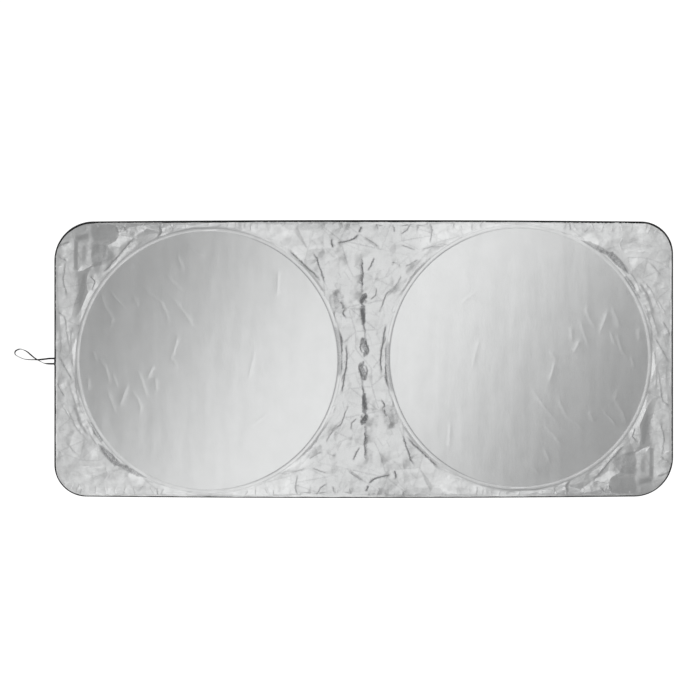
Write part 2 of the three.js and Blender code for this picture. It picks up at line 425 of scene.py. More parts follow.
def line_distance(points, line):
    """How far each point lies to the left of a line, and how far along it the nearest place is."""
    nearest = np.full(len(points), np.inf)
    side = np.zeros(len(points))
    along = np.zeros(len(points))
    walked = 0.0
    for start, end in zip(line[:-1], line[1:]):
        step = end - start
        length = math.hypot(*step)
        share = np.clip((points - start) @ step / length**2, 0, 1)
        off = points - start - share[:, None] * step
        distance = np.hypot(off[:, 0], off[:, 1])
        closer = distance < nearest
        turn = step[0] * (points[:, 1] - start[1]) - step[1] * (points[:, 0] - start[0])
        nearest[closer] = distance[closer]
        side[closer] = np.copysign(distance, turn)[closer]
        along[closer] = (walked + share * length)[closer]
        walked += length
    return side, along / walked


edge_line = evenly(half_outline(edge_inset, 1 * mm), 3 * mm)
print("Half of the sheet's edge has", len(edge_line), "points")

# %% [markdown]
# Every fold that the photograph shows clearly is laid along its own line. Across the line it
# climbs over a steep width and sinks away over a soft one, as cloth does where it is bent over
# itself. The steep side is the one on the right as the line is walked. A fold also says how dark its
# coat is painted where it is sharp: partly the silver coat's real cracks, partly painted shade in the
# crease. Most of them lie beside a hoop or square to the bound edge, since that is how the shade is
# coiled up.

# %% Folds laid one by one
# Each kind of fold: how high, the steep width, the soft width, in millimetres, and the wear,
# which is partly cracked coat and partly painted shade in the crease.
thin = (0.9, 1.8, 4.0, 0.55)
sharp = (1.8, 2.6, 7.0, 0.7)
# The two darkest kinds of fold: their dark is partly cracked coat and partly painted crease shade.
dark_crease = (1.7, 2.4, 6.0, 1.15)
thin_dark_crease = (0.9, 1.8, 4.0, 0.95)
creased = (1.2, 3.0, 6.0, 0.38)
broad = (3.2, 6.5, 11.0, 0.5)
patch = (3.6, 15.0, 16.0, 0.2)
crushed = (3.4, 6.5, 9.0, 0.8)
blob = (3.0, 4.2, 6.0, 0.3)
long = (1.3, 3.4, 6.0, 0.28)
light = (1.6, 4.0, 3.5, 0.0)
faint = (0.4, 3.0, 4.5, 0.0)
hairline = (0.3, 2.0, 2.5, 0.0)
print("A broad fold stands", broad[0], "mm high, and a hairline", hairline[0], "mm")

# %% Folds of the corner
corner_folds = {
    "beside_hoop": (
        [(135.7, 236.8), (129.3, 244.4), (121.6, 253.4), (111.4, 264.8), (102.5, 275)],
        sharp,
    ),
    "zigzag": ([(89.7, 275), (96, 281.4), (92.3, 291.6)], thin),
    "edge_upper": ([(70.6, 242.5), (58.4, 247)], sharp),
    "edge_middle": ([(58.2, 255.3), (68, 261)], sharp),
    "edge_lower": ([(57.9, 310), (65.5, 317), (67.4, 328.6)], sharp),
    "top_notch": ([(116, 225), (120, 233), (123, 225), (129, 232)], sharp),
    "top_shell": ([(160, 224), (163, 232), (158, 240)], broad),
    "near_binding": ([(66, 262), (64, 280), (68, 298)], thin),
}
print("The corner has", len(corner_folds), "folds")

# %% Folds between the hoops
middle_folds = {
    "second_hoop_line": ([(322.4, 284), (314.8, 275), (302, 263.6), (286.7, 248.3)], dark_crease),
    "jagged_upper": ([(312.2, 250.8), (317.3, 258.5), (321.2, 270), (326.3, 286.5)], thin_dark_crease),
    "top_blob": ([(362, 226.6), (359.4, 233)], dark_crease),
    "top_sweep": ([(360.7, 234.2), (351.8, 240.6), (336.5, 243.8)], dark_crease),
    "top_spur": ([(331.4, 238.7), (333.3, 248.3)], dark_crease),
    "top_right": ([(364.5, 237.4), (378.6, 247.6)], light),
    "right_stroke": ([(375.4, 257.2), (367.7, 272.5)], thin_dark_crease),
    "fold_top": ([(362.4, 290.3), (361.6, 281), (362.8, 275), (361.4, 266), (362.4, 258.8)], dark_crease),
    "fold_top_spur": ([(359, 284), (363, 278)], thin_dark_crease),
    "fold_knot": ([(359.2, 303.8), (362.5, 299), (365.7, 293.5)], crushed),
    "fold_knot_cross": ([(366.5, 303), (361, 296)], dark_crease),
    "fold_upper": ([(363.4, 325.5), (362.2, 316), (361, 311), (362.6, 305.4)], crushed),
    "fold_link": ([(364.8, 333), (363.6, 325)], dark_crease),
    "fold_middle": ([(365, 358), (368, 350), (365.5, 343.5), (362.5, 336)], blob),
    "fold_middle_side": ([(361.4, 340), (360.6, 347), (362.6, 354)], thin_dark_crease),
    "grey_facet": ([(344, 312), (339, 300), (335, 289)], patch),
    "jagged_side": ([(340.3, 299.3), (344.8, 310.8), (342.9, 313.3), (348, 319.7)], dark_crease),
    "hoop_strip": ([(340.8, 377), (341.4, 360), (341.4, 340), (338.8, 328.6)], dark_crease),
    "inner_strip": ([(338.4, 396.4), (341.6, 390.6), (344, 376.6), (346.7, 360), (345.4, 341.4)], dark_crease),
    "wander_upper": (
        [(324.4, 449.3), (326.3, 439), (332, 431.4), (341.6, 422.5), (344, 413.6), (351.8, 395.7)],
        creased,
    ),
    "wander_lower": ([(307, 459.5), (314.8, 454.4), (324.4, 449.3)], creased),
    "lower_hook": ([(359.4, 417.4), (351.8, 423.8), (351.8, 432.7)], creased),
    "lower_stroke": ([(346.7, 469.7), (363.3, 480.5)], thin),
    "lower_hoop": ([(294.4, 462), (302, 454.4), (311, 441.6)], creased),
    "lower_run": ([(275.3, 473.5), (298.2, 470.3), (308.4, 465.9)], creased),
    "lower_dash": ([(326.3, 451.8), (335.2, 455.7)], creased),
    "lower_slant": ([(311, 467), (327.6, 473.5)], thin),
    "bottom_arc_left": ([(298.2, 473.5), (295.7, 487.6), (298.2, 496.5)], thin),
    "bottom_arc_middle": ([(314.8, 496.5), (319.9, 487.6), (328.8, 482.4)], thin),
    "bottom_arc_right": ([(332.6, 485), (335.2, 495.2)], thin),
}
print("Between the hoops there are", len(middle_folds), "folds")

# %% Folds of the side and the lower corner
lower_folds = {
    "side_fold": ([(84.6, 414.8), (78.3, 402)], sharp),
    "hoop_wide": ([(88.5, 417.4), (97.4, 432.7), (101.2, 439)], broad),
    "hoop_sweep": ([(144.6, 476), (121.6, 465.9), (111.4, 459.5), (100, 445.5)], crushed),
    "hoop_thin": ([(167.6, 487.6), (145.9, 474.8)], thin),
    "hoop_dash": ([(106.3, 443), (114, 451.2)], thin),
    "strip_upper": ([(57.8, 353.5), (63, 362.6), (73.2, 380.4)], sharp),
    "strip_edge": ([(56.6, 381.7), (65.5, 397)], sharp),
    "strip_light": ([(61.7, 403.4), (71.9, 420)], light),
    "strip_dark": ([(74.4, 403.4), (82, 423.8), (91, 436.5)], broad),
    "strip_long_a": ([(66, 318), (67.5, 332), (71, 350), (71.5, 362)], long),
    "strip_long_b": ([(73, 325), (71.5, 340), (73, 360), (74, 380)], long),
    "strip_long_c": ([(61, 330), (62, 345), (60.5, 357)], long),
    "strip_long_d": ([(75, 372), (77, 390), (82, 408)], long),
    "strip_long_e": ([(69, 380), (74, 397), (79, 414), (86, 430)], long),
    "strip_long_f": ([(63, 400), (70, 412), (77, 428), (90, 442)], long),
    "strip_long_g": ([(84, 418), (92, 436), (103, 452), (112, 462)], long),
    "corner_long_a": ([(66, 440), (75, 452), (84, 458)], long),
    "corner_long_b": ([(70, 470), (86, 474), (104, 472)], long),
    "corner_long_c": ([(104, 482), (108, 474), (105, 466)], long),
    "soft_low": ([(78.3, 465.9), (103.8, 466.5)], light),
    "corner_stroke": ([(135.7, 493.3), (144.6, 485)], thin),
    "corner_dash": ([(157.3, 487.6), (158, 495.2)], thin),
}
print("The side and the lower corner have", len(lower_folds), "folds")

# %% Wrinkles of the disc
disc_wrinkles = {
    "brightest": ([(109.5, 289), (115.3, 298), (127, 309.5)], (0.5, 3.0, 3.0, 0.0)),
    "broad_left": ([(100, 289), (105, 306), (112.7, 318.4), (109.5, 331)], faint),
    "left_short": ([(93, 350), (97, 362)], faint),
    "upper_long": ([(141, 284), (150, 294), (161, 302), (167, 314), (170, 326)], faint),
    "upper_next": ([(168, 293), (176, 302), (184, 312), (197, 331)], faint),
    "upper_short": ([(166, 273), (172, 281), (184, 293)], faint),
    "upper_dash": ([(133, 295), (139, 307)], faint),
    "top_short": ([(177, 254), (180, 262), (184, 270)], faint),
    "top_right": ([(187, 244), (195, 251), (205, 256)], faint),
    "middle_long": ([(179, 334), (175, 347), (172, 359)], faint),
    "middle_left": ([(99, 357), (106, 368), (111, 386)], faint),
    "left_dash": ([(88.5, 376), (88.5, 391)], faint),
    "lower_left": ([(107, 389), (111, 400), (116.5, 414)], faint),
    "lower_lean": ([(129, 382), (124, 395), (119, 409)], faint),
    "lower_bend": ([(131, 389), (138, 399), (141, 407), (140, 415)], faint),
    "lower_long": ([(138, 370), (143, 383), (148, 400)], faint),
    "centre_lean": ([(154.5, 364), (151, 371), (147, 380)], faint),
    "centre_dash": ([(155, 376), (157, 392)], faint),
    "centre_right": ([(170, 356), (173.5, 361), (179, 367)], faint),
    "lower_faint": ([(112, 372), (118, 388)], faint),
    "inner_upper": ([(278.4, 268.4), (277.9, 284), (277.3, 298)], hairline),
    "inner_middle": ([(255.5, 347.3), (252.4, 363.3), (247.3, 381.6)], hairline),
    "inner_lower": ([(268.4, 412.2), (260.6, 419.4), (250, 427)], hairline),
}
print("The disc has", len(disc_wrinkles), "wrinkles")

# %% Lay the folds
wander_step = 6 * mm
hand_wander = 0.9 * mm
highest_swell = 1.15
folds = []
chance = np.random.default_rng(5)


def lay(line, kind, wander=0.0, low=1.0, high=1.0):
    """Adds a fold and its half turn. It may wander sideways, and swell between two shares."""
    if wander:
        line = evenly(line, wander_step)
        line[1:-1] += chance.uniform(-wander, wander, line[1:-1].shape)
    swell = chance.uniform(low, high, len(line))
    folds.extend([(line, kind, swell), (-line, kind, swell)])


for group, low in ((corner_folds, 0.45), (middle_folds, 0.8), (lower_folds, 0.45)):
    for pixels, kind in group.values():
        lay(on_shade(pixels), kind, hand_wander, low, highest_swell)
for pixels, kind in disc_wrinkles.values():
    lay(on_shade(pixels[::-1]), kind)
print(len(folds) // 2, "folds are laid by hand on each half")

# %% [markdown]
# The bound edge is a little shorter than the cloth in it, as sewing always draws an edge up. That
# puts short gathers square to the tape, all the way round. They are many and all alike, so they
# are laid by chance, with a fixed seed so that every run gives the same cloth.

# %% Gathers along the bound edge
gather_start = 2 * mm  # how far from the edge a gather starts
gather_gap = (9, 34)  # from one to the next, lowest and highest, in millimetres
gather_length = (7, 30)
gather_kind = ((0.4, 1.3), (1.5, 2.6), (3, 7), (0, 0.2))  # as in a kind of fold
gather_turn = 0.5  # how far a gather may lean, in radians
shortest_gather = 5 * mm
last_gap = 10 * mm
chance = np.random.default_rng(7)
walk = 0.0
edge_walk = walked_along(edge_line)
gathers = 0
while True:
    walk += chance.uniform(*gather_gap) * mm
    if walk > edge_walk[-1] - last_gap:
        break
    k = int(np.searchsorted(edge_walk, walk))
    ahead = edge_line[k] - edge_line[k - 1]
    ahead /= math.hypot(*ahead)
    turn = chance.uniform(-gather_turn, gather_turn)
    inner = np.array([ahead[1], -ahead[0]])
    way = inner * math.cos(turn) + ahead * math.sin(turn)
    room = math.hypot(*(edge_line[k] - hoop_centre)) - hoop_radius - 2 * half_tunnel
    length = min(chance.uniform(*gather_length) * mm, room)
    kind = tuple(chance.uniform(*limits) for limits in gather_kind)
    if length < shortest_gather:
        continue
    line = edge_line[k] + np.outer([gather_start, gather_start + length], way)
    if chance.random() < 0.5:
        line = line[::-1]
    lay(line, kind, 0.7 * mm, 0.4, 1.2)
    gathers += 1
print(gathers, "gathers run along each half of the edge")

# %% Height and wear of the folds
fold_tail = 3  # after how many soft widths a fold has sunk away
# The cracked coat and the painted crease shade both reach this far past the steep side.
crack_and_shade_margin = 1.0  # how far the cracked coat reaches past the steep side, in millimetres


def near_line(points, line, reach):
    """Which points may lie within reach of a line."""
    above = points > line.min(axis=0) - reach
    return np.all(above & (points < line.max(axis=0) + reach), axis=1)


def lay_folds(points):
    """The height that the folds give to each point, and how dark they paint it: cracks and crease shade.
    """
    height = np.zeros(len(points))
    wear_and_shade = np.zeros(len(points))
    for line, (rise, steep, soft, crack_and_shade), swell in folds:
        near = near_line(points, line, (steep + fold_tail * soft) * mm)
        if not near.any():
            continue
        side, along = line_distance(points[near], line)
        climb = np.clip(1 + side / (steep * mm), 0, 1)
        sink = np.clip(1 - side / (fold_tail * soft * mm), 0, 1) ** 2
        strength = np.interp(along, np.linspace(0, 1, len(line)), swell)
        to_end = np.minimum(along, 1 - along)
        fade = ease(to_end, -0.03, 0.3) * strength
        height[near] += rise * mm * np.where(side < 0, climb, sink) * fade
        off_face = np.abs(side + 0.5 * steep * mm) / ((0.5 * steep + crack_and_shade_margin) * mm)
        mark = crack_and_shade * strength * np.clip(1.7 * (1 - off_face), 0, 1)
        wear_and_shade[near] = np.maximum(wear_and_shade[near], mark * ease(to_end, -0.02, 0.2))
    return height, wear_and_shade


middle_height = lay_folds(np.zeros((1, 2)))[0][0]
print("The folds stand", round(middle_height / mm, 2), "mm high in the middle of the shade")

# %% [markdown]
# Between those folds the cloth is crumpled like foil: flat facets that meet in sharp creases, large
# ones and little ones on top of each other. A noise texture gives soft bumps instead. So the facets
# are made as what they are. A net of points is laid over the cloth, each is lifted by chance,
# triangles join them, and the height of any place is read off its triangle.

# %% Crumpled facets
circumference = 2 * math.pi * hoop_radius
down = Vector((0, 0, -1))
jitter = 0.36  # how far a point of a net may stray, as a share of the net's step
net_reach = 190 * mm  # how far out from the tunnel the nets go
crease_half_width = 1.3 * mm


def crumple_net(along_size, outward_size, lift, seed):
    """A net of lifted points over the whole sheet, the same after half a turn."""
    chance = np.random.default_rng(seed)
    columns = round(circumference / along_size)
    rows = math.ceil(net_reach / outward_size)
    column, row = np.meshgrid(np.arange(columns), np.arange(rows), indexing="ij")
    column = column + 0.5 * (row % 2) + chance.uniform(-jitter, jitter, column.shape)
    row = row + 0.3 + chance.uniform(-jitter, jitter, row.shape)
    turn = column.ravel() / columns * 2 * math.pi
    out = hoop_radius + half_tunnel + row.ravel() * outward_size
    left = hoop_centre + out[:, None] * np.column_stack([np.cos(turn), np.sin(turn)])
    heights = chance.uniform(-lift, lift, len(left))
    kept = (left[:, 0] < -0.3 * along_size) & (left[:, 0] > -half_length)
    kept &= abs(left[:, 1]) < half_height
    left, heights = left[kept], heights[kept]
    points = np.vstack([left, -left])
    net, edges, faces = delaunay_2d_cdt([Vector(p) for p in points], [], [], 0, 1e-7)[:3]
    lifted = [(p.x, p.y, h) for p, h in zip(net, np.concatenate([heights, heights]))]
    tree = BVHTree.FromPolygons(lifted, faces)
    creases = [(np.array(net[a]), np.array(net[b])) for a, b in edges]
    return tree, [pair for pair in creases if pair[0][0] < 0 or pair[1][0] < 0]


def crease_wear_and_shade(creases, points, share, most, seed):
    """How dark some of a net's creases are painted, partly as cracks in the coat and partly as painted
    crease shade, the same after half a turn.
    """
    chance = np.random.default_rng(seed)
    wear_and_shade = np.zeros(len(points))
    for start, end in creases:
        if start[0] + end[0] > 0 or chance.random() > share:
            continue
        strength = chance.uniform(0.3, 1.0) * most
        line = np.array([start, end])
        for crease in (line, -line):
            near = near_line(points, crease, crease_half_width)
            if near.any():
                off = np.abs(line_distance(points[near], crease)[0])
                mark = strength * np.clip(1.5 - 1.5 * off / crease_half_width, 0, 1)
                wear_and_shade[near] = np.maximum(wear_and_shade[near], mark)
    return wear_and_shade


def net_height(tree, points):
    """The height of a net over each point, and 0 beyond the net."""
    heights = np.zeros(len(points))
    for i, (x, y) in enumerate(points):
        hit = tree.ray_cast(Vector((x, y, 1)), down)[0]
        heights[i] = hit.z if hit else 0
    return heights


large_net, large_creases = crumple_net(50 * mm, 33 * mm, 2.1 * mm, 11)
middle_net, middle_creases = crumple_net(22 * mm, 14 * mm, 0.8 * mm, 12)
small_net, small_creases = crumple_net(10 * mm, 7 * mm, 0.3 * mm, 13)
print("The nets have", len(large_creases), len(middle_creases), len(small_creases), "creases")

# %% [markdown]
# The top left corner, and with it the bottom right one, shows large flat facets of light and dark.
# Chance wouldn't put them where they are, so their ridges and valleys are traced as lines of places
# with a height each, and a net of triangles joins the lines. The lamp hangs over the middle, so a
# facet that climbs towards the middle comes out dark, and one that falls towards it is bright.

# %% Large facets of the corner, laid one by one
# Places in the photograph, each with its height in millimetres above the cloth round it.
corner_lines = {
    "outside_left": [(52, 350, 0), (52, 300, 0), (52, 262, 0), (58, 236, 0), (76, 219, 0)],
    "outside_top": [(100, 217, 0), (130, 217, 0), (172, 217, 0)],
    "along_hoop_high": [(174.3, 232.4, 0), (152.6, 240.3, 0), (132.6, 251.8, 0), (114.9, 266.7, 0)],
    "along_hoop_low": [(100, 284.4, 0), (88.5, 304.4, 0), (80.6, 326.1, 0), (77.3, 342, 0)],
    "edge_ridge": [
        (64.5, 240, 2.0), (60.5, 247, 2.8), (58.8, 262, 3.4), (58.6, 282, 3.4), (58.8, 300, 3.2),
        (60, 313, 2.4),
    ],
    "square_outside": [(89.1, 234.2, 0.4), (74.6, 237.4, 0.2), (73.7, 252.1, 0), (73.8, 270, 0)],
    "square_ridge": [(89.1, 239.8, 2.0), (78.8, 241.9, 3.4), (78.2, 254.6, 3.6), (78.3, 270.6, 3.4)],
    "square_foot": [(82, 247, 2.6), (82, 266.1, 2.5)],
    "flap_ridge": [(87.4, 243.8, 2.6), (87.6, 253.6, 2.4)],
    "flap_foot": [(91.4, 243.6, 1.5), (91.6, 256, 1.3)],
    "brown_valley": [(81.4, 271.4, 1.0), (93.6, 264.8, 0.4), (103.8, 259.1, 0.8)],
    "triangle": [(108.2, 245.6, 3.6), (119.3, 247.2, 0.9), (117.2, 257.2, 0.6)],
    "dark_left": [(90.4, 231, 0), (91, 224.7, 0)],
    "dark_right": [(106.3, 223.8, 3.2), (116.5, 225.9, 5.4), (119.7, 235.5, 5.6), (116.5, 241, 5.2)],
    "dark_foot": [(104, 241.6, 3.0), (93.6, 241.6, 0.8)],
    "stripe_left": [
        (77.4, 272.6, 0), (78.3, 282, 0), (78.9, 291.6, 0), (73.4, 306.9, 0), (71.9, 317.1, 0.2),
    ],
    "stripe_right": [
        (88.4, 272.5, 3.4), (86.6, 282.7, 3.8), (88.3, 292.5, 3.6), (81.6, 308.8, 2.8),
        (75.4, 319.1, 1.4),
    ],
    "light_facet": [(96, 274, 1.6), (93, 281, 2.2)],
    "shell_upper": [(124, 229, 2.6), (137, 226, 3.4), (146, 225.6, 2.2)],
    "shell_lower": [(134, 238, 0.6), (147, 228.5, 0.2), (152, 234, 1.4), (163, 233, 0.2)],
    "strip_folds": [(66, 322, 0), (68.6, 334, 2.2), (71.5, 348, 0)],
    "strip_side": [(60.5, 326, 2.4), (61.5, 342, 1.8)],
}


def facet_net(lines):
    """A net of triangles through the traced lines, and its creases."""
    traced = np.array([place for line in lines.values() for place in line])
    ridges = []
    first = 0
    for line in lines.values():
        ridges += [(i, i + 1) for i in range(first, first + len(line) - 1)]
        first += len(line)
    places = [Vector(p) for p in on_shade(traced[:, :2])]
    net, edges, faces = delaunay_2d_cdt(places, ridges, [], 0, 1e-7)[:3]
    tree = BVHTree.FromPolygons([(p.x, p.y, h * mm) for p, h in zip(net, traced[:, 2])], faces)
    return tree, [np.array([net[a], net[b]]) for a, b in edges]


def in_corner(points):
    """1 in the folded corner of the left half, 0 elsewhere, soft in between."""
    from_hoop = points - hoop_centre
    turn = np.degrees(np.arctan2(from_hoop[:, 1], from_hoop[:, 0]))
    return ease(turn, 100, 108) * ease(-turn, -172, -164)


def between_hoops(points):
    """1 in the middle of the shade, 0 beyond the nearest sides of the hoops, soft in between."""
    return ease(points[:, 0], -190 * mm, -90 * mm)


corner_net, corner_creases = facet_net(corner_lines)
print("The corner's facets meet in", len(corner_creases), "creases")

# %% Painted shade on facets of the corner and of the middle fold
# Facets painted darker as shade, as the corners of flat shapes in the photograph, and how dark.
painted_shade_facets = {
    "dark": (
        [(90.4, 231), (92, 226), (106.5, 223.5), (117, 227), (118.5, 234), (115, 240), (95, 241)],
        0.2,
    ),
    "brown": (
        [(93.5, 243.5), (107.5, 245), (116, 256.5), (103.5, 265), (92, 268), (91.5, 256)],
        0.36,
    ),
    "flap": ([(83, 246), (86.5, 245), (87, 262), (83, 267)], 0.22),
    "bar": ([(74.5, 239), (78, 242), (77.6, 270), (74.2, 270)], 0.36),
    "top_bar": ([(75, 235.5), (89, 233.5), (89, 239), (76, 241)], 0.32),
    "stripe": ([(78, 274), (86, 273), (86.5, 289), (80, 307), (75, 310), (79, 292)], 0.32),
}
# The same painted shade where the borders are crisp: the crushed fold down the middle, and folds by
# the tunnel.
fold_shade_facets = {
    "top_line": (
        [(361.3, 259.5), (362.5, 259.3), (363.4, 272), (363.3, 292), (361.3, 292), (361, 272)],
        0.8,
    ),
    "knot": (
        [(359.7, 302.2), (362.4, 294.6), (366.2, 292.9), (366.7, 296.7), (363.5, 301.6), (360.8, 303.8)],
        1.1,
    ),
    "wedge": (
        [(361.9, 304.3), (364.6, 305.4), (365.1, 314.1), (364.2, 326), (362.6, 325), (360.8, 310.8)],
        1.3,
    ),
    "link": ([(363, 325), (364.4, 325), (366, 338), (364.6, 338)], 0.8),
    "blob": (
        [(359.9, 346), (361.8, 338), (365.8, 337.5), (368.4, 349.9), (366.7, 353.1), (364.4, 350.5)],
        0.95,
    ),
    "blob_tip": ([(364.4, 350.5), (367.5, 351.5), (364, 357.4), (363, 355)], 1.1),
    "side_patch": (
        [(332.5, 291), (337, 289.5), (342, 295), (344.5, 310), (343.5, 314), (336, 312)],
        0.46,
    ),
    "top_shade": ([(281, 223.5), (330, 223.5), (328, 227), (310, 229.8), (289, 230)], 0.3),
    "top_shade_end": ([(328, 223.5), (347, 223.5), (346, 232), (337, 234), (328, 227.5)], 0.3),
    "beside_hoop": ([(90, 421), (95.5, 426), (103.5, 440), (102, 442.5), (94, 433)], 0.7),
    "below_hoop": ([(99.3, 444.8), (112, 453.5), (122.9, 465.9), (115, 465.5), (105, 455)], 0.8),
    "below_hoop_end": (
        [(121.6, 467.1), (133.1, 468.4), (145.9, 477.3), (136.9, 475.4), (128, 471)],
        0.65,
    ),
}
soft_border = (1.4 * mm, 2.6 * mm)  # how far a facet's border fades outwards, and inwards
crisp_border = (1.3 * mm, 0.3 * mm)


def facet_shade(points):
    """How dark the painted shade makes each point: inside one of the shapes, with a border as soft as
    its group's.
    """
    darkened = np.zeros(len(points))
    shapes = [(*facet, *soft_border) for facet in painted_shade_facets.values()]
    shapes += [(*facet, *crisp_border) for facet in fold_shade_facets.values()]
    for pixels, share, outside, inside in shapes:
        shape = on_shade(pixels)
        for turned in (shape, -shape):
            room = np.full(len(points), np.inf)
            for start, end in zip(turned, np.roll(turned, -1, axis=0)):
                step = (end - start) / math.hypot(*(end - start))
                off = points - start
                room = np.minimum(room, off[:, 1] * -step[0] + off[:, 0] * step[1])
            darkened = np.maximum(darkened, share * ease(room, -outside, inside))
    return darkened


# Each of these facets is darkened as painted shade.
print(len(painted_shade_facets) + len(fold_shade_facets), "facets of each half are dull")

# %% [markdown]
# Now one function can say how high the cloth lies anywhere. The taut disc lies a little lower than
# the tunnel, so a small step shows at the tunnel's inner seam. The tunnel leans inwards, because the
# loose cloth pulls its outer side up. Beyond it the cloth sinks to the bound edge, with the folds
# and the crumple on top.

# %% Height of the cloth
# Across the tunnel, from the disc outwards: how far from the wire and how high, in millimetres.
tunnel_profile = [
    (-26, 2.2), (-5, 2.5), (-4, 2.56), (-3.1, 2.74), (-2.1, 2.94), (-1, 3.06),
    (0, 3.14), (1, 3.22), (2.1, 3.28), (3.1, 3.26), (4, 3.0), (8, 2.8),
]
ferrule_rise = 0.6 * mm
ferrule_half_length = 15 * mm
edge_height = 1.2 * mm
loose_height = 2.4 * mm
lowest_crumple = -1.8 * mm
lowest_cloth = 0.5 * mm


def round_hoop(points):
    """Each point as seen from the hoop's centre, and how far outside the wire it lies."""
    from_hoop = points - hoop_centre
    return from_hoop, np.hypot(from_hoop[:, 0], from_hoop[:, 1]) - hoop_radius


def crumple_height(points):
    """The height of the crumple. The folded corner has its own facets instead of the large ones."""
    corner = in_corner(points)
    height = net_height(large_net, points) * (1 - 0.85 * corner)
    height += net_height(middle_net, points) * (1 - 0.5 * corner)
    height += net_height(small_net, points)
    height *= 1 + 0.25 * between_hoops(points)
    height += 1.1 * net_height(corner_net, points) * corner
    return np.maximum(height, lowest_crumple)


def distance_to_edge(points, out):
    """How far each point outside the hoop is from the sheet's edge. On the disc any far value does."""
    to_edge = np.full(len(points), 1.0)
    outside = out > 0
    to_edge[outside] = abs(line_distance(points[outside], edge_line[::4])[0])
    return to_edge


def base_height(from_hoop, out, to_edge):
    """The height of the cloth without its folds: disc, tunnel, ferrule, and the way down to the edge."""
    profile_from, profile_height = np.array(tunnel_profile).T * mm
    height = np.interp(out, profile_from, profile_height)
    beside_ferrule = ease(ferrule_half_length - abs(from_hoop[:, 0]), -6 * mm, 4 * mm)
    beside_ferrule *= from_hoop[:, 1] > 0
    crown = np.cos(np.clip(abs(out) / half_tunnel, 0, 1) * math.pi / 2) ** 2
    height += ferrule_rise * beside_ferrule * crown
    slope = edge_height + (loose_height - edge_height) * ease(to_edge, -4 * mm, 22 * mm)
    return height + (slope - height) * ease(out, half_tunnel, half_tunnel + 8 * mm)


print("The crumple's deepest hollow is", round(-lowest_crumple / mm, 1), "mm below the cloth round it")

# %% [markdown]
# The coat is painted darker along the folds and along some of the crumple's creases, which chance
# picks: partly its real cracks, partly painted shade in the creases. The side of a tunnel that faces
# the middle gets a painted shadow at its inner seam and painted shade along a stretch, and the loose
# cloth between the hoops is painted a little darker. The pale coat, partly scuffed and partly painted
# highlight, is kept apart, because it makes the coat paler and not darker.

# %% Wear and painted shade of the coat
# Creases painted darker, partly as cracked coat and partly as painted shade in the crease.
large_crease_wear_and_shade = (0.6, 0.55, 21)  # the share of creases that are worn, the most wear, and the seed
middle_crease_wear_and_shade = (0.32, 0.42, 22)
# How much darker the loose cloth between the hoops is painted.
middle_darkening = 0.18
# Painted shadow along a tunnel's inner seam, and painted shade on a stretch of the tunnel beside it.
seam_shadow_darkness = 0.95
tunnel_shade_darkness = 0.62
# The dull stretch below is painted shade.
shaded_stretch = (-40 * mm, 78 * mm)  # how low and how high the dull stretch of the tunnel reaches
shaded_fade = 6 * mm


def tunnel_painted_shade(points, from_hoop, out):
    """Painted shadow along the inner seam, and painted shade on a stretch of the tunnel, both on the
    side facing the middle.
    """
    facing_middle = ease(from_hoop[:, 0] / np.maximum(hoop_radius + out, 1 * mm), 0.1, 0.6)
    seam = seam_shadow_darkness * facing_middle * ease(-abs(out + half_tunnel), -1.7 * mm, -0.3 * mm)
    low, high = shaded_stretch
    shaded = ease(points[:, 1], low - shaded_fade, low + shaded_fade)
    shaded *= ease(-points[:, 1], -high - shaded_fade, shaded_fade - high)
    on_tunnel = ease(-abs(out), -half_tunnel - 0.6 * mm, -half_tunnel + 0.5 * mm)
    return np.maximum(seam, shaded * (tunnel_shade_darkness * facing_middle * on_tunnel))


def loose_wear_and_shade(points, laid_wear_and_shade, loose):
    """How dark the loose cloth is painted: cracks and crease shade of its folds and of some creases, its
    painted-shade facets, and the darker middle.
    """
    between = between_hoops(points)
    large = crease_wear_and_shade(large_creases, points, *large_crease_wear_and_shade) * (0.5 + 0.5 * between)
    middle = crease_wear_and_shade(middle_creases, points, *middle_crease_wear_and_shade) * (0.35 + 0.65 * between)
    darkened = np.maximum(facet_shade(points), middle_darkening * between * loose)
    return np.maximum.reduce([laid_wear_and_shade, large, middle, darkened])


def cloth(points):
    """The height, the darkening by cracks and painted shade, and the looseness of the cloth at each
    point of the left half.
    """
    from_hoop, out = round_hoop(points)
    to_edge = distance_to_edge(points, out)
    off_edge = ease(to_edge, 1.8 * mm, 7 * mm)
    loose = ease(out, half_tunnel, half_tunnel + 6 * mm) * off_edge
    on_disc = ease(-out, 1.5 * half_tunnel, 4 * half_tunnel)
    laid, laid_wear_and_shade = lay_folds(points)
    height = base_height(from_hoop, out, to_edge)
    height += loose * (crumple_height(points) + laid) + on_disc * laid
    reach = ease(out, 0.3 * half_tunnel, 0.9 * half_tunnel) * off_edge
    wear_and_shade = np.maximum(loose_wear_and_shade(points, laid_wear_and_shade, loose) * reach, tunnel_painted_shade(points, from_hoop, out))
    return np.maximum(height, lowest_cloth), wear_and_shade, loose


def scuff_and_highlight(points):
    """How pale the coat is painted, partly a rougher coat and partly painted highlight: none on the
    discs, most at the ends of the shade.
    """
    from_hoop, out = round_hoop(points)
    beyond = ease(out, half_tunnel, half_tunnel + 3 * mm)
    corner = in_corner(points) * ease(points[:, 0], -706 * mm, -690 * mm)
    kept = np.maximum(0.65 * corner, 0.85 * between_hoops(points))
    turn = np.degrees(np.arctan2(from_hoop[:, 1], from_hoop[:, 0]))
    facing_middle = ease(from_hoop[:, 0], 0, 220 * mm)
    # The tunnel's side facing the middle, and its top, get less of the painted highlight.
    unlit_side = np.maximum(facing_middle, ease(-abs(turn - 90), -40, -12))
    on_tunnel = 0.5 * (1 - 0.75 * unlit_side)
    rubbed_and_lit = ease(out, -half_tunnel - 0.6 * mm, -half_tunnel + 0.6 * mm)
    return rubbed_and_lit * (on_tunnel + (1 - on_tunnel) * beyond) * (1 - kept * beyond)


